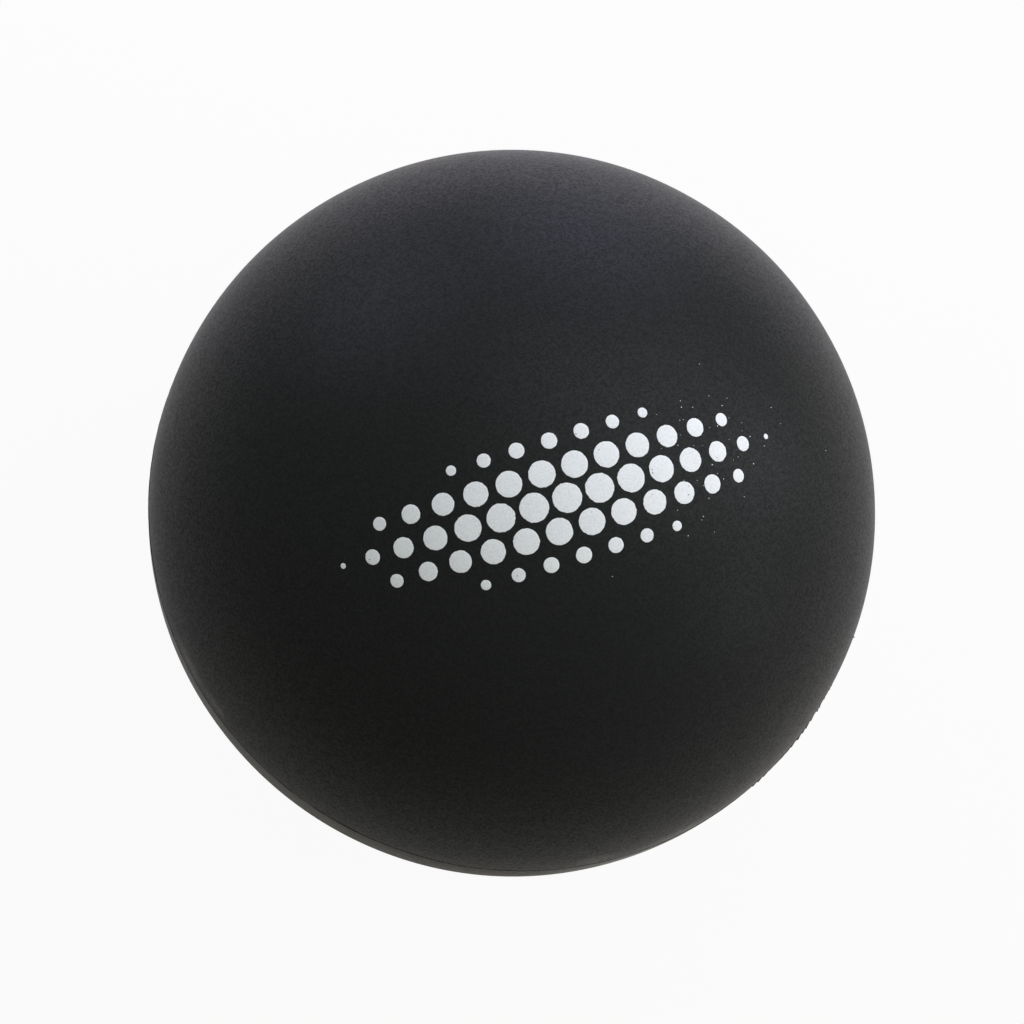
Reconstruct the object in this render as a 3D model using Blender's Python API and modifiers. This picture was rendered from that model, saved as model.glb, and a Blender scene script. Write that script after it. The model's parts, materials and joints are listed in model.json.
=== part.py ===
"""Lacrosse ball: solid rubber, pressed from two halves in a two-part mould.

The ball's centre is the origin, and its halves meet in the XY plane. +Z points at the middle of the
printed half. The ball stands on the middle of the plain half.
"""

import math

import bpy

# Driving dimensions, in metres
BALL_DIAMETER = 0.0635  # the round of both halves, without the flash
FLASH_THICKNESS = 0.00025  # web of rubber squeezed out between the two mould halves
FLASH_TIP_THICKNESS = 0.00012  # the web's outer edge, where it was trimmed
FLASH_LIP = 0.00010  # how far the trimmed edge stands out of the round
FLASH_ROOT = 0.0010  # how far the web reaches in between the halves
FLASH_ROOT_GAP = 0.0003  # free space behind the web's inner edge
REST_FLAT_RADIUS = 0.0020  # patch that the ball's own weight presses flat

# Facets around the polar axis, and from a pole to the seam
TURN_STEPS = 96
ARC_STEPS = 24

# An edge sharper than this stays sharp in the smooth shading
SHARP_ANGLE = math.radians(30)
AXIS_MERGE = 0.000001

# Rubber as linear colour and roughness: the trimmed flash is paler and drier than the moulded skin
MOULDED_SKIN = ((0.013, 0.013, 0.0135, 1.0), 0.55)
TRIMMED_EDGE = ((0.020, 0.019, 0.018, 1.0), 0.80)

# Sizes that follow
BALL_RADIUS = BALL_DIAMETER / 2
FLASH_HALF = FLASH_THICKNESS / 2
RIM_RADIUS = math.sqrt(BALL_RADIUS**2 - FLASH_HALF**2)
FLASH_INNER_RADIUS = BALL_RADIUS - FLASH_ROOT
FLASH_OUTER_RADIUS = BALL_RADIUS + FLASH_LIP
REBATE_RADIUS = FLASH_INNER_RADIUS - FLASH_ROOT_GAP
REST_HEIGHT = math.sqrt(BALL_RADIUS**2 - REST_FLAT_RADIUS**2)


def clear_scene():
    """Remove every object that the file starts with."""
    for old in list(bpy.data.objects):
        bpy.data.objects.remove(old, do_unlink=True)


def new_collection(name):
    """Make an empty collection in the scene."""
    collection = bpy.data.collections.new(name)
    bpy.context.scene.collection.children.link(collection)
    return collection


def rubber(name, finish):
    """Make a rubber material from a colour and a roughness."""
    colour, roughness = finish
    material = bpy.data.materials.new(name)
    material.use_nodes = True
    shader = material.node_tree.nodes["Principled BSDF"]
    shader.inputs["Base Color"].default_value = colour
    shader.inputs["Roughness"].default_value = roughness
    shader.inputs["Metallic"].default_value = 0.0
    material.diffuse_color = colour
    return material


def round_arc(start_angle, end_angle):
    """Points of the ball's round as (radius, height), between two latitudes."""
    points = []
    for step in range(ARC_STEPS + 1):
        angle = start_angle + (end_angle - start_angle) * step / ARC_STEPS
        points.append((BALL_RADIUS * math.cos(angle), BALL_RADIUS * math.sin(angle)))
    return points


def turned(name, profile, closed, finish, collection):
    """Turn a profile of (radius, height) points about Z into one closed body."""
    points = [(radius, 0.0, height) for radius, height in profile]
    edges = [(index, index + 1) for index in range(len(points) - 1)]
    if closed:
        edges.append((len(points) - 1, 0))
    outline = bpy.data.meshes.new(name + "_profile")
    outline.from_pydata(points, edges, [])

    piece = bpy.data.objects.new(name, outline)
    collection.objects.link(piece)
    screw = piece.modifiers.new("Turn", "SCREW")
    screw.axis = "Z"
    screw.angle = math.tau
    screw.steps = TURN_STEPS
    screw.render_steps = TURN_STEPS
    screw.use_merge_vertices = True
    screw.merge_threshold = AXIS_MERGE

    # The turned surface becomes the piece's own mesh, so that its sharp edges can be marked.
    bpy.context.view_layer.update()
    evaluated = piece.evaluated_get(bpy.context.evaluated_depsgraph_get())
    surface = bpy.data.meshes.new_from_object(evaluated)
    surface.name = name
    piece.modifiers.clear()
    piece.data = surface
    bpy.data.meshes.remove(outline)
    surface.shade_smooth()
    surface.set_sharp_from_angle(angle=SHARP_ANGLE)
    surface.materials.clear()
    surface.materials.append(rubber(name + "_rubber", finish))
    return piece


def make_printed_half(collection):
    """Upper half: a dome with a flat parting face and a shallow rebate for the flash at its rim."""
    profile = round_arc(math.pi / 2, math.asin(FLASH_HALF / BALL_RADIUS))
    profile[0] = (0.0, BALL_RADIUS)
    profile += [(REBATE_RADIUS, FLASH_HALF), (REBATE_RADIUS, 0.0), (0.0, 0.0)]
    return turned("printed_half", profile, False, MOULDED_SKIN, collection)


def make_plain_half(collection):
    """Lower half: the same dome upside down, pressed flat where the ball stands on it."""
    rest_angle = math.asin(REST_HEIGHT / BALL_RADIUS)
    profile = [(0.0, 0.0), (REBATE_RADIUS, 0.0), (REBATE_RADIUS, -FLASH_HALF)]
    profile += round_arc(-math.asin(FLASH_HALF / BALL_RADIUS), -rest_angle)
    profile.append((0.0, -REST_HEIGHT))
    return turned("plain_half", profile, False, MOULDED_SKIN, collection)


def make_seam_flash(collection):
    """Thin ring that fills both rebates and tapers to its trimmed edge, proud of the round."""
    tip = FLASH_TIP_THICKNESS / 2
    profile = [
        (FLASH_INNER_RADIUS, FLASH_HALF),
        (RIM_RADIUS, FLASH_HALF),
        (FLASH_OUTER_RADIUS, tip),
        (FLASH_OUTER_RADIUS, -tip),
        (RIM_RADIUS, -FLASH_HALF),
        (FLASH_INNER_RADIUS, -FLASH_HALF),
    ]
    return turned("seam_flash", profile, True, TRIMMED_EDGE, collection)


def main():
    """Build the ball's pieces in one collection."""
    clear_scene()
    ball = new_collection("lacrosse_ball")
    make_printed_half(ball)
    make_plain_half(ball)
    make_seam_flash(ball)


main()
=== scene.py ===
"""Looks of a solid rubber lacrosse ball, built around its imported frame.

The ball's centre is the origin, its seam lies in the XY plane, and +Z is the middle of the printed half.
Sizes are in metres and angles in degrees. Colours are linear.
"""

import json
import logging
import math
from collections.abc import Sequence
from dataclasses import dataclass
from enum import Enum

import bpy
import numpy as np
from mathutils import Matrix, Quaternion, Vector

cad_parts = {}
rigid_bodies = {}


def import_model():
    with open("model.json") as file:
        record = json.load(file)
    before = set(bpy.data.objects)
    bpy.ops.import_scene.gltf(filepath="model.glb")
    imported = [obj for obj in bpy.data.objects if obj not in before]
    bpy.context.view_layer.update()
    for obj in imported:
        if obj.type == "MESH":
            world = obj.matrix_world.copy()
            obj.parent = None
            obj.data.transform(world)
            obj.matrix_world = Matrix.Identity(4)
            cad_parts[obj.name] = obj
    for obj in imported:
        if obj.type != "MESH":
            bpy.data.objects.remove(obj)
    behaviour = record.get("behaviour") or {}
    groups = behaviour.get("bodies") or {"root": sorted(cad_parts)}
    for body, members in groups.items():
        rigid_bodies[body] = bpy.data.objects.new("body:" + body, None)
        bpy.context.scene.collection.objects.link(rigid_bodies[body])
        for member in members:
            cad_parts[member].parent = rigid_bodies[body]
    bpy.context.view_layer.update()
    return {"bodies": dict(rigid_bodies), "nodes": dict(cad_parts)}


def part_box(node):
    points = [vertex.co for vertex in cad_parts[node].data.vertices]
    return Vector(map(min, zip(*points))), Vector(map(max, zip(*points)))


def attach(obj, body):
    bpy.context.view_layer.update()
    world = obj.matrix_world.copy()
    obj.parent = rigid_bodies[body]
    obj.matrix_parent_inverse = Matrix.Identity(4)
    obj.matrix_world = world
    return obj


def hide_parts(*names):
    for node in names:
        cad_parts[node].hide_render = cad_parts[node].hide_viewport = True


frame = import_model()

BODY = next(iter(frame["bodies"]))
UP = Vector((0.0, 0.0, 1.0))
LOG = logging.getLogger("lacrosse_ball")

Colour = tuple[float, float, float]
Factors = tuple[float, float, float]
Span = tuple[float, float]

# Faces that meet at a larger angle than this keep a sharp edge.
SHARP_ANGLE = math.radians(38.0)
# Room between the flash's inner edge and the rebate that it sits in.
REBATE_ROOM = 0.0003
# Noise lies mostly between these values, so an even step from one to the other uses all of it.
NOISE_SPAN: Span = (0.3, 0.7)
NOISE_MIDDLE = 0.5


class Side(Enum):
    """The two halves of the ball, by the way they face along Z."""

    PRINTED = 1
    PLAIN = -1


class Aim(Enum):
    """What a lamp points at."""

    BALL = "ball"
    FLOOR = "floor"


class Ray(Enum):
    """Kinds of ray that the Light Path node tells apart."""

    CAMERA = "Is Camera Ray"
    GLOSSY = "Is Glossy Ray"
    TRANSMISSION = "Is Transmission Ray"


class Socket:
    """An output socket that takes part in Python arithmetic; each operation adds a Math node."""

    def __init__(self, tree: "ShaderTree", output: bpy.types.NodeSocket) -> None:
        """Wrap a node's output.

        Args:
            tree: The shader tree that the output belongs to.
            output: The output itself.
        """
        self.tree = tree
        self.output = output

    def __add__(self, other: "Socket | float") -> "Socket":
        """Sum of two values."""
        return self.tree.maths("ADD", self, other)

    def __radd__(self, other: float) -> "Socket":
        """Sum with a number on the left."""
        return self.tree.maths("ADD", other, self)

    def __sub__(self, other: "Socket | float") -> "Socket":
        """Difference of two values."""
        return self.tree.maths("SUBTRACT", self, other)

    def __rsub__(self, other: float) -> "Socket":
        """Difference with a number on the left."""
        return self.tree.maths("SUBTRACT", other, self)

    def __mul__(self, other: "Socket | float") -> "Socket":
        """Product of two values."""
        return self.tree.maths("MULTIPLY", self, other)

    def __rmul__(self, other: float) -> "Socket":
        """Product with a number on the left."""
        return self.tree.maths("MULTIPLY", other, self)


class ShaderTree:
    """The node tree of a material or a world, with short ways to add nodes."""

    def __init__(self, owner: bpy.types.Material | bpy.types.World) -> None:
        """Start an empty tree.

        Args:
            owner: The material or world whose tree is written.
        """
        owner.use_nodes = True
        self.end = "OutputWorld" if isinstance(owner, bpy.types.World) else "OutputMaterial"
        self.nodes = owner.node_tree.nodes
        self.links = owner.node_tree.links
        self.nodes.clear()

    def node(
        self,
        kind: str,
        settings: dict[str, object] | None = None,
        sockets: dict[str | int, object] | None = None,
        output: str | int = 0,
    ) -> Socket | None:
        """Add one node.

        Args:
            kind: The node's type, without the leading ShaderNode.
            settings: Properties, which are set first.
            sockets: Values or links of the inputs, by name or by number.
            output: The output to return, by name or by number.

        Returns:
            The chosen output, or nothing if the node ends the tree.
        """
        made = self.nodes.new("ShaderNode" + kind)
        for name, value in (settings or {}).items():
            setattr(made, name, value)
        for name, value in (sockets or {}).items():
            if isinstance(value, Socket):
                self.links.new(value.output, made.inputs[name])
            else:
                made.inputs[name].default_value = value
        return Socket(self, made.outputs[output]) if len(made.outputs) else None

    def maths(self, operation: str, *values: "Socket | float") -> Socket:
        """Math node on values, links or numbers."""
        return self.node("Math", {"operation": operation}, dict(enumerate(values)))

    def dot(self, place: Socket, direction: Vector) -> Socket:
        """Distance of a place along a direction."""
        sockets = {0: place, 1: tuple(direction)}
        return self.node("VectorMath", {"operation": "DOT_PRODUCT"}, sockets, "Value")

    def scaled(self, place: Socket, factors: Factors) -> Socket:
        """A place with each of its coordinates multiplied."""
        return self.node("VectorMath", {"operation": "MULTIPLY"}, {0: place, 1: factors})

    def weighed(self, first: Socket, second: Socket, share: float) -> Socket:
        """Mean of two values, of which the first has the given share."""
        return share * first + (1.0 - share) * second

    def blend(self, share: Socket, low: "Socket | Colour", high: "Socket | Colour") -> Socket:
        """Mix two colours.

        Args:
            share: How much of the second colour shows, from 0 to 1.
            low: The first colour.
            high: The second colour.

        Returns:
            The mixed colour.
        """
        first, second = (c if isinstance(c, Socket) else (*c, 1.0) for c in (low, high))
        return self.node("Mix", {"data_type": "RGBA"}, {0: share, 6: first, 7: second}, 2)

    def ease(self, value: Socket, start: float, end: float, low: float = 0.0, high: float = 1.0) -> Socket:
        """Smooth step of a value.

        Args:
            value: The value that is read.
            start: Where the step begins.
            end: Where it ends.
            low: Result before the step.
            high: Result after it.

        Returns:
            The stepped value.
        """
        sockets = {"Value": value, "From Min": start, "From Max": end, "To Min": low, "To Max": high}
        return self.node("MapRange", {"interpolation_type": "SMOOTHSTEP"}, sockets)

    def noise(self, place: Socket, grain: float, detail: float = 2.0, roughness: float = 0.5) -> Socket:
        """Noise of a given grain.

        Args:
            place: Coordinates in metres.
            grain: Size of one bump in metres.
            detail: How many finer layers there are.
            roughness: How strong the finer layers are.

        Returns:
            Noise from 0 to 1.
        """
        sockets = {"Vector": place, "Scale": 1.0 / grain, "Detail": detail, "Roughness": roughness}
        return self.node("TexNoise", {}, sockets)

    def flecks(self, place: Socket, size: float) -> Socket:
        """A random value from 0 to 1 for each small cell of the given size."""
        cell = self.node("TexVoronoi", {}, {"Vector": place, "Scale": 1.0 / size}, "Color")
        return self.node("SeparateColor", {}, {0: cell}, 0)

    def spots(
        self, place: Socket, spacing: float, radius: float, share: float, core: float = 0.6
    ) -> Socket:
        """Sparse round spots.

        Args:
            place: Coordinates in metres.
            spacing: Distance between places that may hold a spot.
            radius: Radius of a spot.
            share: Share of the places that hold one.
            core: Share of the radius within which a spot is full.

        Returns:
            1 in a spot and 0 elsewhere.
        """
        distance = self.node("TexVoronoi", {}, {"Vector": place, "Scale": 1.0 / spacing}, "Distance")
        inside = self.ease(distance, radius / spacing, core * radius / spacing)
        return inside * self.maths("LESS_THAN", self.flecks(place, spacing), share)

    def bump(self, relief: Socket, height: float) -> Socket:
        """Normal of a relief that is as high as given, in metres."""
        return self.node("Bump", {}, {"Strength": 1.0, "Distance": height, "Height": relief})

    def surface(self, shader: Socket) -> None:
        """End the tree with this shader."""
        self.node(self.end, {}, {"Surface": shader})

    def principled(self, sockets: dict[str | int, object]) -> None:
        """End the tree with one Principled shader."""
        self.surface(self.node("BsdfPrincipled", {}, sockets))


def new_material(name: str) -> tuple[bpy.types.Material, ShaderTree]:
    """Make a material with an empty tree."""
    material = bpy.data.materials.new(name)
    return material, ShaderTree(material)


def unit_vector(turn: float, rise: float) -> Vector:
    """Direction at a turn around Z and a rise from the XY plane, both in degrees."""
    around, up = math.radians(turn), math.radians(rise)
    return Vector((math.cos(up) * math.cos(around), math.cos(up) * math.sin(around), math.sin(up)))


@dataclass(frozen=True)
class PaleMark:
    """A faint pale warm mark on the ball: where its middle lies, and its half length along the seam and
    half width.

    It has its full strength within its core, which is a share of its reach, and fades out from there.
    """

    turn: float
    rise: float
    half_length: float
    half_width: float
    strength: float
    core: float = 0.1

    def mask(self, tree: ShaderTree, place: Socket) -> Socket:
        """Share of the mark at each place.

        Args:
            tree: The rubber's tree.
            place: Coordinates in metres.

        Returns:
            The mark's strength in its middle and 0 outside it.
        """
        out = unit_vector(self.turn, self.rise)
        along = unit_vector(self.turn + 90.0, 0.0)
        far_along = tree.dot(place, along) * (1.0 / self.half_length)
        far_across = tree.dot(place, out.cross(along)) * (1.0 / self.half_width)
        away = tree.maths("SQRT", far_along * far_along + far_across * far_across)
        near = tree.maths("GREATER_THAN", tree.dot(place, out), 0.0)
        return tree.ease(away, 1.0, self.core, 0.0, self.strength) * near


@dataclass(frozen=True)
class GroundStretch:
    """A stretch below the seam where the skin was ground off: its middle, and its reach to each side."""

    turn: float
    reach: float

    def share(self, tree: ShaderTree, way: Socket) -> Socket:
        """How much is ground off in each direction from the ball's centre.

        Args:
            tree: The rubber's tree.
            way: Unit vectors from the centre.

        Returns:
            1 in the stretch's middle, falling to 0 at its ends.
        """
        facing = tree.dot(way, unit_vector(self.turn, 0.0))
        return tree.ease(facing, math.cos(math.radians(self.reach)), 1.0)


@dataclass(frozen=True)
class Bloom:
    """The faint pale sheen that rubber has where it is seen at a slant."""

    weight: float = 0.15
    roughness: float = 0.20
    tint: Colour = (1.0, 0.95, 0.86)

    def sockets(self) -> dict[str, object]:
        """The shader's values for the sheen."""
        tint = (*self.tint, 1.0)
        return {"Sheen Weight": self.weight, "Sheen Roughness": self.roughness, "Sheen Tint": tint}


@dataclass(frozen=True)
class MouldedRubber:
    """Matte black rubber with flecks of shine, ground off below the seam, with faint pale warm marks above
    it.

    Patch, grain, fleck and streak are the sizes of one bump of each noise. A span gives the values between
    which a mark comes in, a cover is how much of it shows at most, and a least is what it keeps elsewhere.
    """

    name: str = "moulded_rubber"
    dark: Colour = (0.0144, 0.0157, 0.0151)
    pale: Colour = (0.0154, 0.0167, 0.0161)
    mottle_span: Span = (0.27, 0.73)
    refraction: float = 1.145
    roughness: float = 0.42
    bloom: Bloom = Bloom()
    patch: float = 0.0018
    patch_roughness: float = 0.08
    grain: float = 0.00035
    grain_height: float = 0.000014
    grain_share: float = 0.75

    shine: float = 0.9
    shine_refraction: float = 1.2
    fleck: float = 0.00013
    fleck_share: float = 0.75

    ground: Colour = (0.0600, 0.0530, 0.0480)
    ground_cover: float = 0.9
    ground_width: float = 0.0075
    ground_full: float = 0.001875
    ground_start: float = 0.00012
    ground_edge: float = 0.0024
    ground_least: float = 0.22
    ground_stretches: tuple[GroundStretch, ...] = (
        GroundStretch(214.0, 48.0),
        GroundStretch(295.0, 27.0),
    )
    streak: float = 0.00032
    streak_stretch: Factors = (0.06, 0.06, 1.0)
    streak_least: float = 0.6
    streak_relief: float = 1.7

    # Pale warm marks just above the seam: they lighten the colour, lower the roughness and raise the coat
    # there.
    pale_marked: Colour = (0.1050, 0.0900, 0.0800)
    pale_mark_cover: float = 0.4
    mark_breakup_span: Span = (0.36, 0.58)
    mark_breakup_least: float = 0.25
    mark_breakup_streaks: float = 0.6
    pale_marks: tuple[PaleMark, ...] = (
        PaleMark(214.4, 2.9, 0.0024, 0.0015, 1.0),
        PaleMark(207.4, 2.8, 0.0034, 0.0018, 0.85),
        PaleMark(281.5, 3.0, 0.0024, 0.0018, 0.8),
        PaleMark(295.5, 2.0, 0.0052, 0.0022, 1.0),
    )
    ground_and_mark_polish: float = 0.13
    ground_and_mark_shine: float = 0.50

    dust: Colour = (0.0750, 0.0750, 0.0730)
    dust_cover: float = 0.6
    dust_spacing: float = 0.0038
    dust_radius: float = 0.00007
    dust_share: float = 0.30

    def ground_share(self, tree: ShaderTree, place: Socket, patches: Socket, streaks: Socket) -> Socket:
        """How much of the skin was ground off below the seam.

        Args:
            tree: The rubber's tree.
            place: Coordinates in metres.
            patches: Coarse noise that makes the belt's lower edge uneven.
            streaks: Marks of the grinding, from 0 to 1.

        Returns:
            1 where the skin is gone and 0 where it is whole.
        """
        way = tree.node("VectorMath", {"operation": "NORMALIZE"}, {0: place})
        around: Socket | float = self.ground_least
        for stretch in self.ground_stretches:
            around = tree.maths("MAXIMUM", around, stretch.share(tree, way))
        height = tree.node("SeparateXYZ", {}, {0: place}, "Z")
        uneven = height + self.ground_edge * (patches - NOISE_MIDDLE)
        belt = tree.ease(uneven, -self.ground_width, -self.ground_full)
        belt = belt * tree.ease(height, 0.0, -self.ground_start)
        return belt * around * tree.ease(streaks, *NOISE_SPAN, self.streak_least, 1.0)

    def material(self) -> bpy.types.Material:
        """Write the rubber's nodes.

        Returns:
            The material.
        """
        material, tree = new_material(self.name)
        place = tree.node("TexCoord", output="Object")
        patches = tree.noise(place, self.patch, roughness=0.55)
        grain = tree.noise(place, self.grain, roughness=0.68)
        streaks = tree.noise(tree.scaled(place, self.streak_stretch), self.streak, roughness=0.6)
        ground = self.ground_share(tree, place, patches, streaks)

        mottle = tree.ease(tree.weighed(grain, patches, self.grain_share), *self.mottle_span)
        colour = tree.blend(mottle, self.dark, self.pale)
        colour = tree.blend(self.ground_cover * ground, colour, self.ground)
        ground_and_marked = ground
        marks = tree.weighed(streaks, grain, self.mark_breakup_streaks)
        mark_breakup = tree.ease(marks, *self.mark_breakup_span, self.mark_breakup_least, 1.0)
        # Lighten the colour in pale warm marks above the seam; they also get the ground belt's polish and
        # shine.
        for pale_mark in self.pale_marks:
            pale_marked = pale_mark.mask(tree, place) * mark_breakup
            colour = tree.blend(self.pale_mark_cover * pale_marked, colour, self.pale_marked)
            ground_and_marked = tree.maths("MAXIMUM", ground_and_marked, pale_marked)
        specks = tree.spots(place, self.dust_spacing, self.dust_radius, self.dust_share)
        colour = tree.blend(self.dust_cover * specks, colour, self.dust)

        rough = self.roughness + self.patch_roughness * (patches - NOISE_MIDDLE) - self.ground_and_mark_polish * ground_and_marked
        flecks = tree.ease(tree.flecks(place, self.fleck), *NOISE_SPAN)
        shine = self.shine * tree.weighed(flecks, tree.ease(grain, *NOISE_SPAN), self.fleck_share)
        shine = tree.maths("MINIMUM", shine + self.ground_and_mark_shine * ground_and_marked, 1.0)
        relief = grain + self.streak_relief * ground * streaks
        tree.principled(
            {
                "Base Color": colour,
                "Roughness": rough,
                "IOR": self.refraction,
                "Normal": tree.bump(relief, self.grain_height),
                "Coat Weight": shine,
                "Coat Roughness": self.roughness,
                "Coat IOR": self.shine_refraction,
                **self.bloom.sockets(),
            }
        )
        return material


@dataclass(frozen=True)
class TrimmedRubber:
    """Rubber where the flash was trimmed: a smooth line whose colour is painted shade, darker than the
    rubber so that it draws the seam's dark line, and dry pale tips where it tore.

    The torn span gives the heights above the skin between which the dry finish comes in.
    """

    skin_radius: float
    name: str = "trimmed_rubber"
    # smooth is painted shade: darker than the rubber, it draws the seam's dark line, which is the shade in
    # the groove between the halves.
    smooth: Colour = (0.0095, 0.0095, 0.0090)
    torn_dark: Colour = (0.0260, 0.0240, 0.0220)
    torn_pale: Colour = (0.0620, 0.0560, 0.0510)
    torn_span: Span = (0.00006, 0.00016)
    torn_roughness: float = 0.1
    refraction: float = 1.2
    roughness: float = 0.40
    bloom: Bloom = Bloom()
    bead: float = 0.0008
    bead_span: Span = (0.42, 0.58)
    bead_roughness: float = 0.3
    tear: float = 0.00020
    tear_height: float = 0.000012
    tear_roughness: float = 0.1

    def material(self) -> bpy.types.Material:
        """Write the trimmed edge's nodes.

        Returns:
            The material.
        """
        material, tree = new_material(self.name)
        place = tree.node("TexCoord", output="Object")
        tears = tree.noise(place, self.tear, detail=3.0, roughness=0.6)
        beads = tree.ease(tree.noise(place, self.bead, detail=1.0), *self.bead_span)
        level = tree.scaled(place, (1.0, 1.0, 0.0))
        reach = tree.node("VectorMath", {"operation": "LENGTH"}, {0: level}, "Value")
        torn = tree.ease(reach, *(self.skin_radius + proud for proud in self.torn_span))
        dry = tree.blend(tree.ease(tears, *NOISE_SPAN), self.torn_dark, self.torn_pale)
        rough = self.roughness + self.bead_roughness * beads + self.torn_roughness * torn
        tree.principled(
            {
                # Painted shade: the untorn flash takes the darker smooth colour, which draws the seam
                # line's shade.
                "Base Color": tree.blend(torn, self.smooth, dry),
                "Roughness": rough + self.tear_roughness * (tears - NOISE_MIDDLE),
                "IOR": self.refraction,
                "Normal": tree.bump(tears, self.tear_height),
                **self.bloom.sockets(),
            }
        )
        return material


@dataclass(frozen=True)
class PrintInk:
    """Silver-white ink, a little grainy, with pinholes that let the rubber through."""

    name: str = "print_ink"
    pale: Colour = (0.90, 0.93, 0.94)
    shaded: Colour = (0.79, 0.82, 0.83)
    shade_span: Span = (0.62, 0.34)
    refraction: float = 1.4
    roughness: float = 0.55
    cloud: float = 0.0035
    grain: float = 0.00015
    grain_height: float = 0.000008
    grain_roughness: float = 0.2
    grain_share: float = 0.75
    pinhole: Colour = (0.16, 0.165, 0.17)
    pinhole_cover: float = 0.7
    pinhole_spacing: float = 0.00062
    pinhole_radius: float = 0.00008
    pinhole_share: float = 0.14

    def material(self) -> bpy.types.Material:
        """Write the ink's nodes.

        Returns:
            The material.
        """
        material, tree = new_material(self.name)
        place = tree.node("TexCoord", output="Object")
        grain = tree.noise(place, self.grain, roughness=0.6)
        cloud = tree.noise(place, self.cloud)
        shade = tree.ease(tree.weighed(grain, cloud, self.grain_share), *self.shade_span)
        colour = tree.blend(shade, self.pale, self.shaded)
        holes = tree.spots(place, self.pinhole_spacing, self.pinhole_radius, self.pinhole_share)
        tree.principled(
            {
                "Base Color": tree.blend(self.pinhole_cover * holes, colour, self.pinhole),
                "Roughness": self.roughness + self.grain_roughness * (grain - NOISE_MIDDLE),
                "IOR": self.refraction,
                "Normal": tree.bump(grain, self.grain_height),
            }
        )
        return material


def smooth_piece(
    name: str, points: np.ndarray, faces: list[tuple[int, ...]], finish: bpy.types.Material
) -> bpy.types.Object:
    """Make a smooth-shaded mesh object from points and faces.

    Args:
        name: The piece's name.
        points: One row of x, y and z for each point.
        faces: The points of each face, turning anticlockwise from outside.
        finish: The piece's material.

    Returns:
        The new object, in the scene.
    """
    mesh = bpy.data.meshes.new(name)
    mesh.from_pydata(points.tolist(), [], faces)
    mesh.shade_smooth()
    mesh.set_sharp_from_angle(angle=SHARP_ANGLE)
    mesh.materials.append(finish)
    piece = bpy.data.objects.new(name, mesh)
    bpy.context.scene.collection.objects.link(piece)
    return piece


def stitched(counts: Sequence[int]) -> list[tuple[int, ...]]:
    """Faces between neighbouring rings of points, numbered ring by ring from the top.

    Args:
        counts: Points in each ring: as many as in the ring above, twice as many, or 1 at an end.

    Returns:
        The faces, turning anticlockwise from outside.
    """
    faces: list[tuple[int, ...]] = []
    start = 0
    for above, below in zip(counts, counts[1:]):
        top = [start + i % above for i in range(above + 1)]
        low = [start + above + i % below for i in range(below + 1)]
        if above == 1:
            faces += [(low[i], low[i + 1], start) for i in range(below)]
        elif below == 1:
            faces += [(low[0], top[i + 1], top[i]) for i in range(above)]
        elif below == above:
            faces += [(low[i], low[i + 1], top[i + 1], top[i]) for i in range(above)]
        else:
            for i in range(above):
                faces.append((low[2 * i], low[2 * i + 1], top[i]))
                faces.append((low[2 * i + 1], top[i + 1], top[i]))
                faces.append((low[2 * i + 1], low[2 * i + 2], top[i + 1]))
        start += above
    return faces


@dataclass(frozen=True)
class Ripple:
    """Smooth seeded variation along a circle, made of a few sines."""

    seed: int
    slowest: int
    fastest: int
    terms: int = 14

    def along(self, turn: np.ndarray) -> np.ndarray:
        """Value at each angle.

        Args:
            turn: Angles in radians.

        Returns:
            Values of about unit spread.
        """
        draw = np.random.default_rng(self.seed)
        rates = draw.integers(self.slowest, self.fastest + 1, self.terms)
        starts = draw.uniform(0.0, math.tau, self.terms)
        sines = np.sin(rates[:, None] * turn[None, :] + starts[:, None])
        return sines.sum(0) * math.sqrt(2.0 / self.terms)


@dataclass(frozen=True)
class MouldedSkin:
    """The ball's real surface: a hair oval, with a moulding's slight waves and a flat below the seam.

    The flat was ground there, on the plain half only.
    """

    radius: float
    wave_height: float = 0.000008
    wave_length: float = 0.014
    waves: int = 20
    seed: int = 31
    egg_height: float = 0.000014
    egg_turn: float = 120.0
    ground_depth: float = 0.00011
    ground_turn: float = 235.0
    ground_spread: float = 23.0
    ground_reach: float = 0.014

    def radius_at(self, directions: np.ndarray, side: Side) -> np.ndarray:
        """Distance of the skin from the ball's centre.

        Args:
            directions: Unit vectors, one row each.
            side: The half that the points lie on.

        Returns:
            One radius for each direction.
        """
        draw = np.random.default_rng(self.seed)
        axes = draw.normal(size=(self.waves, 3))
        axes /= np.linalg.norm(axes, axis=1)[:, None]
        starts = draw.uniform(0.0, math.tau, self.waves)
        rate = math.tau * self.radius / self.wave_length
        waves = np.sin(rate * directions @ axes.T + starts).sum(1) * math.sqrt(2.0 / self.waves)
        turn = np.arctan2(directions[:, 1], directions[:, 0])
        level = np.hypot(directions[:, 0], directions[:, 1])
        egg = level**2 * np.cos(2.0 * (turn - math.radians(self.egg_turn)))
        found = self.radius + self.wave_height * waves + self.egg_height * egg
        if side is Side.PLAIN:
            off = np.angle(np.exp(1j * (turn - math.radians(self.ground_turn))))
            away = (off / math.radians(self.ground_spread)) ** 2
            away += (directions[:, 2] * self.radius / self.ground_reach) ** 2
            found -= self.ground_depth * np.exp(-away)
        return found


@dataclass(frozen=True)
class SkinZone:
    """A belt of the skin: how far from the seam it reaches, its row spacing and its points around."""

    reach: float
    step: float
    points: int


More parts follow.
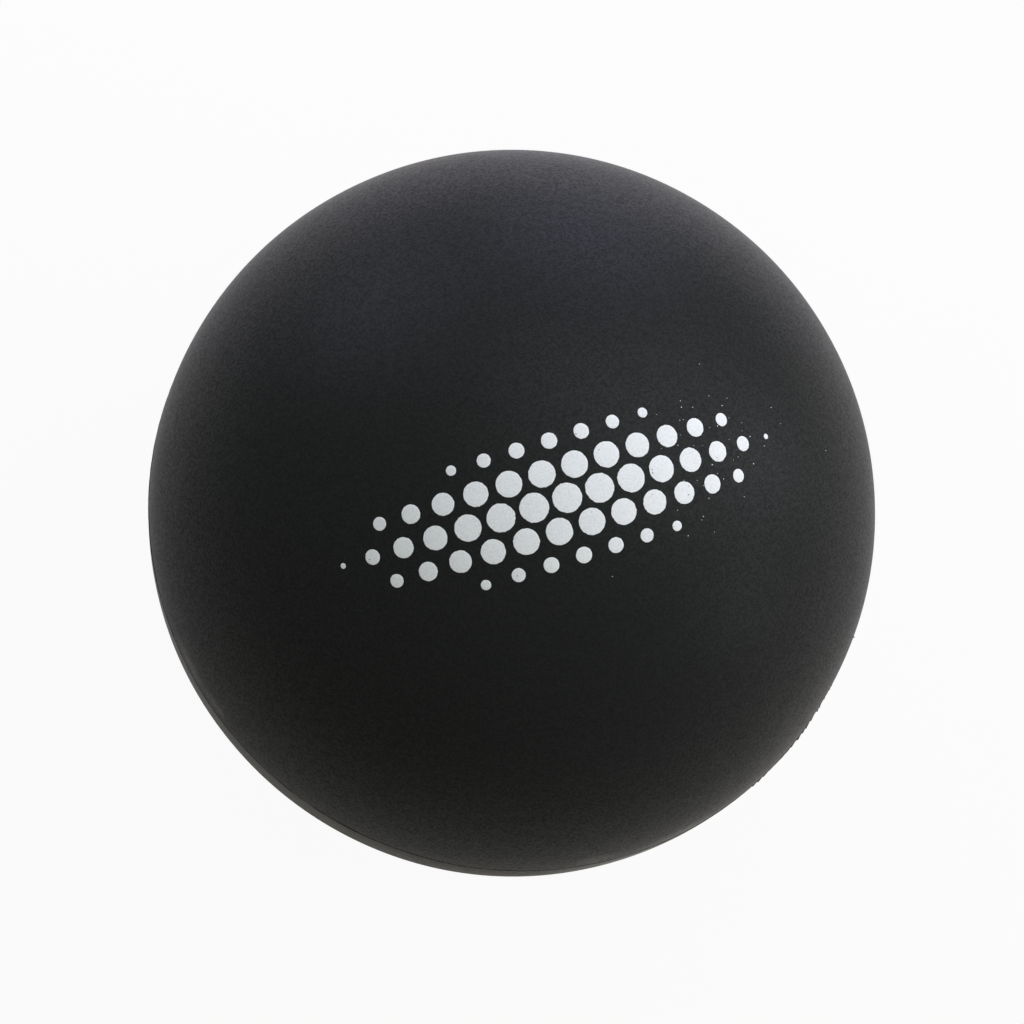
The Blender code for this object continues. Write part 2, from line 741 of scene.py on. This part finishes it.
@dataclass
class RubberHalf:
    """One moulded half: a solid dome with a soft rim, a rebate for the flash and a flat parting face."""

    name: str
    side: Side
    skin: MouldedSkin
    flash_half: float
    rebate_radius: float
    rest_height: float
    rim_round: float = 0.000015
    rim_steps: int = 5
    nick_depth: float = 0.000008
    nick_reach: float = 0.0009
    zones: tuple[SkinZone, ...] = (
        SkinZone(0.0012, 0.00012, 720),
        SkinZone(0.0072, 0.00030, 720),
        SkinZone(0.0240, 0.00060, 360),
        SkinZone(0.0400, 0.00075, 180),
        SkinZone(0.0499, 0.00090, 90),
    )
    nicks: Ripple = Ripple(seed=11, slowest=9, fastest=70)

    def row_places(self) -> list[tuple[float, int]]:
        """Rows of the dome from the pole down.

        Returns:
            Each row's distance from the seam along the skin, and its points around.
        """
        rows: list[tuple[float, int]] = []
        reached = self.flash_half + self.rim_round
        top = self.skin.radius * math.pi / 2
        for zone in self.zones:
            end = min(zone.reach, top - zone.step)
            count = max(1, round((end - reached) / zone.step))
            rows += [(reached + (end - reached) * i / count, zone.points) for i in range(count)]
            reached = end
        return rows[::-1]

    def ring(self, distance: float, count: int) -> np.ndarray:
        """Points of one row of the skin, for a half that faces up.

        Args:
            distance: How far the row lies from the seam, along the skin.
            count: Points around.

        Returns:
            The row's points.
        """
        turn = np.arange(count) * math.tau / count
        rise = distance / self.skin.radius
        level = math.cos(rise)
        height = np.full(count, math.sin(rise))
        directions = np.stack([level * np.cos(turn), level * np.sin(turn), height], 1)
        radii = self.skin.radius_at(directions, self.side)
        near_seam = math.exp(-((distance / self.nick_reach) ** 2))
        radii -= self.nick_depth * near_seam * np.abs(self.nicks.along(turn))
        points = directions * radii[:, None]
        if self.side is Side.PLAIN:
            points[:, 2] = np.minimum(points[:, 2], self.rest_height)
        return points

    def rim(self, last: np.ndarray) -> list[np.ndarray]:
        """Rows below the dome: the rounded rim, the rebate and the parting face.

        Args:
            last: The dome's lowest row.

        Returns:
            The rows, ending with the face's centre.
        """
        outward = last[:, :2] / np.linalg.norm(last[:, :2], axis=1)[:, None]
        reach = np.linalg.norm(last[:, :2], axis=1) - self.rim_round
        rows: list[np.ndarray] = []
        for step in range(1, self.rim_steps + 1):
            bend = math.pi / 2 * step / self.rim_steps
            level = reach + self.rim_round * math.cos(bend)
            height = self.flash_half + self.rim_round * (1.0 - math.sin(bend))
            rows.append(np.column_stack([outward * level[:, None], np.full(len(last), height)]))
        for height in (self.flash_half, 0.0):
            rows.append(np.column_stack([outward * self.rebate_radius, np.full(len(last), height)]))
        rows.append(np.zeros((1, 3)))
        return rows

    def build(self, finish: bpy.types.Material) -> bpy.types.Object:
        """Make the half's mesh and dress it.

        Args:
            finish: The rubber.

        Returns:
            The half.
        """
        pole = np.array([[0.0, 0.0, 1.0]])
        top = pole * self.skin.radius_at(pole, self.side)[:, None]
        if self.side is Side.PLAIN:
            top[:, 2] = np.minimum(top[:, 2], self.rest_height)
        rows = [top] + [self.ring(distance, count) for distance, count in self.row_places()]
        rows += self.rim(rows[-1])
        faces = stitched([len(row) for row in rows])
        points = np.concatenate(rows)
        if self.side is Side.PLAIN:
            points[:, 2] *= -1.0
            faces = [face[::-1] for face in faces]
        piece = smooth_piece(self.name, points, faces, finish)
        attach(piece, BODY)
        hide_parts(self.name)
        return piece


@dataclass(frozen=True)
class SeamStretch:
    """A stretch of the seam that was trimmed in its own way.

    The share is of the flash's full height, the nub is its tallest torn bit, and a higher power gives the
    stretch steeper ends.
    """

    turn: float
    spread: float
    share: float
    nub: float
    power: int = 2

    def fade(self, turn: np.ndarray) -> np.ndarray:
        """How much the stretch counts at each angle around the seam."""
        off = np.angle(np.exp(1j * (turn - math.radians(self.turn))))
        return np.exp(-((off / math.radians(self.spread)) ** self.power))


@dataclass(frozen=True)
class TornBit:
    """A single bit of flash that was left standing: where it is, how tall and how long."""

    turn: float
    height: float
    length: float


@dataclass
class SeamFlash:
    """The trimmed web of rubber between the halves: a low line with torn nubs here and there.

    The section goes from the skin to the tip, by shares of the half thickness and of the height.
    """

    skin: MouldedSkin
    half_thickness: float
    lip: float
    inner: float
    name: str = "seam_flash"
    points_around: int = 2880
    least_height: float = 0.000005
    wander: Ripple = Ripple(seed=21, slowest=5, fastest=40)
    wander_share: float = 0.25
    unevenness: Ripple = Ripple(seed=22, slowest=30, fastest=260, terms=30)
    uneven_share: float = 0.05
    seed: int = 5
    nub_length: float = 0.00075
    nub_gaps: Span = (0.0, 0.5)
    nub_lengths: Span = (0.6, 1.0)
    nub_heights: Span = (0.7, 1.0)
    nub_slope: float = 0.9
    section: tuple[tuple[float, float], ...] = ((1.0, 0.0), (0.72, 0.30), (0.45, 0.82), (0.22, 1.0))
    stretches: tuple[SeamStretch, ...] = (
        SeamStretch(246.0, 62.0, 0.10, 0.0, power=6),
        SeamStretch(168.0, 16.0, 0.62, 0.0),
        SeamStretch(311.0, 7.0, 0.55, 0.0),
        SeamStretch(311.4, 1.4, 1.0, 0.00013),
        SeamStretch(321.5, 3.0, 1.0, 0.00006),
        SeamStretch(332.0, 8.5, 1.0, 0.00019),
        SeamStretch(98.0, 12.0, 1.0, 0.00014),
    )
    bits: tuple[TornBit, ...] = (TornBit(340.5, 0.00044, 0.00055), TornBit(76.0, 0.00030, 0.00050))

    def heights(self, turn: np.ndarray) -> np.ndarray:
        """How far the flash stands out of the skin.

        Args:
            turn: Angles around the seam, in radians.

        Returns:
            One height for each angle.
        """
        share = np.ones(len(turn))
        for stretch in self.stretches:
            share += stretch.fade(turn) * (stretch.share - 1.0)
        found = self.lip * share * (1.0 + self.uneven_share * self.unevenness.along(turn))
        draw = np.random.default_rng(self.seed)
        cells = int(math.tau * self.skin.radius / self.nub_length)
        starts = (np.arange(cells) + draw.uniform(*self.nub_gaps, cells)) * math.tau / cells
        lengths = draw.uniform(*self.nub_lengths, cells) * self.nub_length / self.skin.radius
        sizes = draw.uniform(*self.nub_heights, cells)
        tallest = sum(stretch.nub * stretch.fade(starts) for stretch in self.stretches)
        torn = list(zip(starts, sizes * tallest, lengths))
        torn += [(math.radians(bit.turn), bit.height, bit.length / self.skin.radius) for bit in self.bits]
        for start, height, length in torn:
            gone = np.mod(turn - start, math.tau) / length
            found += np.where(gone < 1.0, height * (1.0 - self.nub_slope * gone), 0.0)
        return np.maximum(found, self.least_height)

    def build(self, finish: bpy.types.Material) -> bpy.types.Object:
        """Make the ring and dress it.

        Args:
            finish: The trimmed rubber.

        Returns:
            The flash.
        """
        count = self.points_around
        turn = np.arange(count) * math.tau / count
        outward = np.stack([np.cos(turn), np.sin(turn)], 1)
        edge = self.skin.radius_at(np.column_stack([outward, np.zeros(count)]), Side.PRINTED)
        proud = self.heights(turn)
        shift = self.wander_share * self.half_thickness * self.wander.along(turn)
        rows: list[np.ndarray] = []
        for side in Side:
            face = side.value * self.half_thickness
            half = [np.column_stack([outward * self.inner, np.full(count, face)])]
            for level, rise in self.section:
                height = level * face + (1.0 - level) * shift
                half.append(np.column_stack([outward * (edge + rise * proud)[:, None], height]))
            rows += half if side is Side.PRINTED else half[::-1]
        faces = stitched([count] * len(rows))
        last = (len(rows) - 1) * count
        faces += [(i, (i + 1) % count, last + (i + 1) % count, last + i) for i in range(count)]
        piece = smooth_piece(self.name, np.concatenate(rows), faces, finish)
        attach(piece, BODY)
        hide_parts(self.name)
        return piece


@dataclass
class DotPrint:
    """A band of printed dots, largest in the middle, with stray specks of ink around it.

    The film's profile goes from a dot's middle to its edge, by shares of the radius and of the thickness.
    """

    skin: MouldedSkin
    name: str = "dot_print"
    tilt: float = 14.6
    side_turn: float = -94.4
    rise: float = 18.0
    half_length: float = 0.0190
    half_width: float = 0.0056
    pitch: float = 0.0027
    largest: float = 0.00235
    smallest: float = 0.00045
    film: float = 0.000022
    film_profile: tuple[tuple[float, float], ...] = ((0.0, 1.0), (0.55, 1.0), (0.93, 1.0), (1.0, 0.5))
    sunk: float = 0.00003
    edge_unevenness: float = 0.012
    points_around: int = 40
    speck_points: int = 8
    specks: int = 56
    speck_sizes: Span = (0.00004, 0.00009)
    speck_spread: Span = (0.0042, 0.0028)
    speck_middle: float = 0.0125
    seed: int = 3

    def axes(self) -> tuple[np.ndarray, np.ndarray, np.ndarray]:
        """Directions that the print is laid out by.

        Returns:
            Unit vectors to its middle, along its length and along its width.
        """
        middle = unit_vector(self.side_turn, 90.0 - self.tilt)
        length = UP.rotation_difference(middle) @ unit_vector(self.rise, 0.0)
        return np.array(middle), np.array(length), np.array(middle.cross(length))

    def on_ball(self, along: np.ndarray, across: np.ndarray) -> np.ndarray:
        """Directions of points of the print.

        Args:
            along: Distances along the band's length.
            across: Distances across it.

        Returns:
            Unit vectors from the ball's centre.
        """
        middle, length, width = self.axes()
        a, b = along[:, None] / self.skin.radius, across[:, None] / self.skin.radius
        return np.cos(b) * (np.cos(a) * middle + np.sin(a) * length) + np.sin(b) * width

    def dots(self) -> list[tuple[float, float, float]]:
        """Places and diameters of the dots: a hexagonal grid whose dots shrink towards the band's outline.

        Returns:
            Distance along, distance across and diameter of each dot.
        """
        found = []
        row_step = self.pitch * math.sqrt(3.0) / 2.0
        rows = int(self.half_width / row_step)
        columns = int(self.half_length / self.pitch) + 1
        for row in range(-rows, rows + 1):
            for column in range(-columns, columns + 1):
                along = (column + 0.5 * (row % 2)) * self.pitch
                across = row * row_step
                inside = 1.0 - (along / self.half_length) ** 2 - (across / self.half_width) ** 2
                if inside > 0.0:
                    found.append((along, across, max(self.smallest, self.largest * math.sqrt(inside))))
        return found

    def stray(self) -> list[tuple[float, float, float]]:
        """Places and diameters of the stray specks.

        Returns:
            Distance along, distance across and diameter of each speck.
        """
        draw = np.random.default_rng(self.seed)
        along = self.speck_middle + self.speck_spread[0] * draw.normal(size=self.specks)
        across = self.speck_spread[1] * draw.normal(size=self.specks)
        sizes = draw.uniform(*self.speck_sizes, size=self.specks)
        return list(zip(along, across, sizes))

    def spot(
        self, along: float, across: float, size: float, count: int, draw: np.random.Generator
    ) -> list[np.ndarray]:
        """Rows of points of one closed spot of ink film.

        Args:
            along: Distance along the band.
            across: Distance across it.
            size: The spot's diameter.
            count: Points around.
            draw: Source of the edge's unevenness.

        Returns:
            The rows from the top's middle to the underside's middle.
        """
        turn = np.arange(count) * math.tau / count
        edge = 1.0 + self.edge_unevenness * draw.normal(size=count)
        rows = []
        top = [(share, height * self.film) for share, height in self.film_profile]
        for share, lift in top + [(1.0, -self.sunk), (0.0, -self.sunk)]:
            around = turn if share else turn[:1]
            reach = 0.5 * size * share * (edge if share else edge[:1])
            directions = self.on_ball(along + reach * np.cos(around), across + reach * np.sin(around))
            radii = self.skin.radius_at(directions, Side.PRINTED) + lift
            rows.append(directions * radii[:, None])
        return rows

    def build(self, finish: bpy.types.Material) -> bpy.types.Object:
        """Make the print's film and dress it.

        Args:
            finish: The ink.

        Returns:
            The print.
        """
        draw = np.random.default_rng(self.seed + 1)
        points: list[np.ndarray] = []
        faces: list[tuple[int, ...]] = []
        start = 0
        spots = [(*dot, self.points_around) for dot in self.dots()]
        spots += [(*speck, self.speck_points) for speck in self.stray()]
        for along, across, size, count in spots:
            rows = self.spot(along, across, size, count, draw)
            faces += [tuple(start + i for i in face) for face in stitched([len(row) for row in rows])]
            points += rows
            start += sum(len(row) for row in rows)
        piece = smooth_piece(self.name, np.concatenate(points), faces, finish)
        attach(piece, BODY)
        return piece


@dataclass(frozen=True)
class PhotoCamera:
    """The photograph's view: how far the camera stands, and how it leans away from the printed pole."""

    distance: float = 0.2721
    tilt: float = 19.05
    side_turn: float = 241.8
    lens: float = 108.74
    sensor: float = 36.0
    shift_right: float = 0.0002
    shift_up: float = 0.0012
    nearest: float = 0.01
    farthest: float = 20.0

    def lean(self) -> Quaternion:
        """Turn that takes a camera looking straight down to this view."""
        return UP.rotation_difference(unit_vector(self.side_turn, 90.0 - self.tilt))

    def toward(self, image_turn: float, off_axis: float) -> Vector:
        """Direction that the picture shows at an angle from its middle.

        Args:
            image_turn: Angle in the picture, anticlockwise from the right.
            off_axis: Angle from the line between ball and camera.

        Returns:
            A unit vector from the ball.
        """
        return self.lean() @ unit_vector(image_turn, 90.0 - off_axis)

    def build(self) -> bpy.types.Object:
        """Make the camera and give it to the scene.

        Returns:
            The camera.
        """
        data = bpy.data.cameras.new("photo_camera")
        data.lens = self.lens
        data.sensor_width = self.sensor
        data.shift_x = self.shift_right
        data.shift_y = self.shift_up
        data.clip_start = self.nearest
        data.clip_end = self.farthest
        camera = bpy.data.objects.new("photo_camera", data)
        camera.rotation_mode = "QUATERNION"
        camera.rotation_quaternion = self.lean()
        camera.location = self.lean() @ (UP * self.distance)
        bpy.context.scene.collection.objects.link(camera)
        bpy.context.scene.camera = camera
        return camera


@dataclass(frozen=True)
class SoftBox:
    """A round soft lamp, placed by where the photograph's view would show it from the ball."""

    name: str
    image_turn: float
    off_axis: float
    distance: float
    size: float
    radiance: float
    colour: Colour
    aim: Aim = Aim.BALL
    floor_spread: float = 75.0

    def build(self, view: PhotoCamera) -> bpy.types.Object:
        """Make the lamp.

        Args:
            view: The camera that the lamp's place is given in.

        Returns:
            The lamp.
        """
        data = bpy.data.lights.new(self.name, "AREA")
        data.shape = "DISK"
        data.size = self.size
        data.color = self.colour
        # A disc gives off pi times its radiance for each square metre.
        data.energy = self.radiance * math.pi * math.pi * self.size**2 / 4.0
        lamp = bpy.data.objects.new(self.name, data)
        toward = view.toward(self.image_turn, self.off_axis)
        lamp.location = toward * self.distance
        if self.aim is Aim.BALL:
            lamp.rotation_mode = "QUATERNION"
            lamp.rotation_quaternion = toward.to_track_quat("Z", "Y")
        else:
            data.spread = math.radians(self.floor_spread)
        lamp.visible_camera = False
        bpy.context.scene.collection.objects.link(lamp)
        return lamp


@dataclass(frozen=True)
class Studio:
    """Plain pale floor, soft lamps and an even surround."""

    floor_height: float
    floor_size: float = 6.0
    floor_colour: Colour = (0.525, 0.50, 0.465)
    surround: Colour = (0.293, 0.304, 0.271)
    white_shares: tuple[tuple[Ray, float], ...] = (
        (Ray.CAMERA, 0.94),
        (Ray.TRANSMISSION, 0.94),
        (Ray.GLOSSY, 0.055),
    )
    lamps: tuple[SoftBox, ...] = (
        SoftBox("key_softbox", 24.0, 58.0, 0.38, 0.40, 1.77, (1.0, 0.97, 1.04)),
        SoftBox("front_softbox", 60.0, 30.0, 0.38, 0.30, 0.94, (0.98, 1.02, 1.09)),
        SoftBox("right_softbox", 10.0, 84.0, 0.32, 0.13, 2.38, (0.965, 0.985, 1.09)),
        SoftBox("low_right_softbox", 340.0, 78.0, 0.32, 0.13, 1.65, (0.98, 0.98, 1.02)),
        SoftBox("back_softbox", 75.0, 90.0, 0.34, 0.25, 1.32, (0.965, 1.0, 1.47)),
        SoftBox("left_back_softbox", 121.0, 77.0, 0.34, 0.25, 1.33, (0.97, 0.99, 1.31)),
        SoftBox("floor_softbox", 80.6, 65.4, 0.326, 0.30, 1.44, (0.98, 0.97, 1.28), Aim.FLOOR),
    )

    def whitened(self, tree: ShaderTree, plain: Socket, kind: str) -> Socket:
        """Mix a shader with plain white for the rays that look at it, most of all for the camera's.

        Args:
            tree: The tree that the shader belongs to.
            plain: The shader as it lights the ball.
            kind: The type of the node that gives the white.

        Returns:
            The mixed shader.
        """
        white = tree.node(kind, {}, {"Color": (1.0, 1.0, 1.0, 1.0), "Strength": 1.0})
        share = sum(weight * tree.node("LightPath", output=ray.value) for ray, weight in self.white_shares)
        return tree.node("MixShader", {}, {0: share, 1: plain, 2: white})

    def floor(self) -> bpy.types.Object:
        """Make the floor, which shows nearly white and keeps the ball's shadow.

        Returns:
            The floor.
        """
        half = self.floor_size / 2.0
        corners = [(-half, -half), (half, -half), (half, half), (-half, half)]
        mesh = bpy.data.meshes.new("floor")
        mesh.from_pydata([(x, y, self.floor_height) for x, y in corners], [], [(0, 1, 2, 3)])
        material, tree = new_material("pale_floor")
        plain = tree.node("BsdfDiffuse", {}, {"Color": (*self.floor_colour, 1.0)})
        tree.surface(self.whitened(tree, plain, "Emission"))
        mesh.materials.append(material)
        floor = bpy.data.objects.new("floor", mesh)
        bpy.context.scene.collection.objects.link(floor)
        return floor

    def world(self) -> bpy.types.World:
        """Make the even surround.

        Returns:
            The world.
        """
        world = bpy.data.worlds.new("surround")
        tree = ShaderTree(world)
        plain = tree.node("Background", {}, {"Color": (*self.surround, 1.0), "Strength": 1.0})
        tree.surface(self.whitened(tree, plain, "Background"))
        bpy.context.scene.world = world
        return world

    def build(self, view: PhotoCamera) -> None:
        """Make the floor, the surround and the lamps.

        Args:
            view: The camera that the lamps are placed by.
        """
        self.floor()
        self.world()
        for lamp in self.lamps:
            lamp.build(view)
        bpy.context.scene.view_settings.view_transform = "Standard"


def inner_radius(node: str) -> float:
    """Smallest distance of a CAD node's points from the ball's axis."""
    return min(math.hypot(point.co.x, point.co.y) for point in frame["nodes"][node].data.vertices)


def main() -> None:
    """Build the ball, its studio and the photograph's view."""
    logging.basicConfig(level=logging.INFO, format="%(name)s: %(message)s")
    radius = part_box("printed_half")[1].z
    rest_height = -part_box("plain_half")[0].z
    flash_low, flash_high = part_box("seam_flash")
    flash_half = (flash_high.z - flash_low.z) / 2.0
    flash_inner = inner_radius("seam_flash")
    rebate_radius = flash_inner - REBATE_ROOM

    skin = MouldedSkin(radius)
    rubber = MouldedRubber().material()
    halves = {Side.PRINTED: "printed_half", Side.PLAIN: "plain_half"}
    for side, name in halves.items():
        piece = RubberHalf(name, side, skin, flash_half, rebate_radius, rest_height).build(rubber)
        LOG.info("%s: %d faces", piece.name, len(piece.data.polygons))
    trimmed = TrimmedRubber(radius).material()
    flash = SeamFlash(skin, flash_half, flash_high.x - radius, flash_inner).build(trimmed)
    LOG.info("%s: %d faces", flash.name, len(flash.data.polygons))
    dots = DotPrint(skin).build(PrintInk().material())
    LOG.info("%s: %d faces", dots.name, len(dots.data.polygons))

    view = PhotoCamera()
    view.build()
    Studio(-rest_height).build(view)


if __name__ == "__main__":
    main()
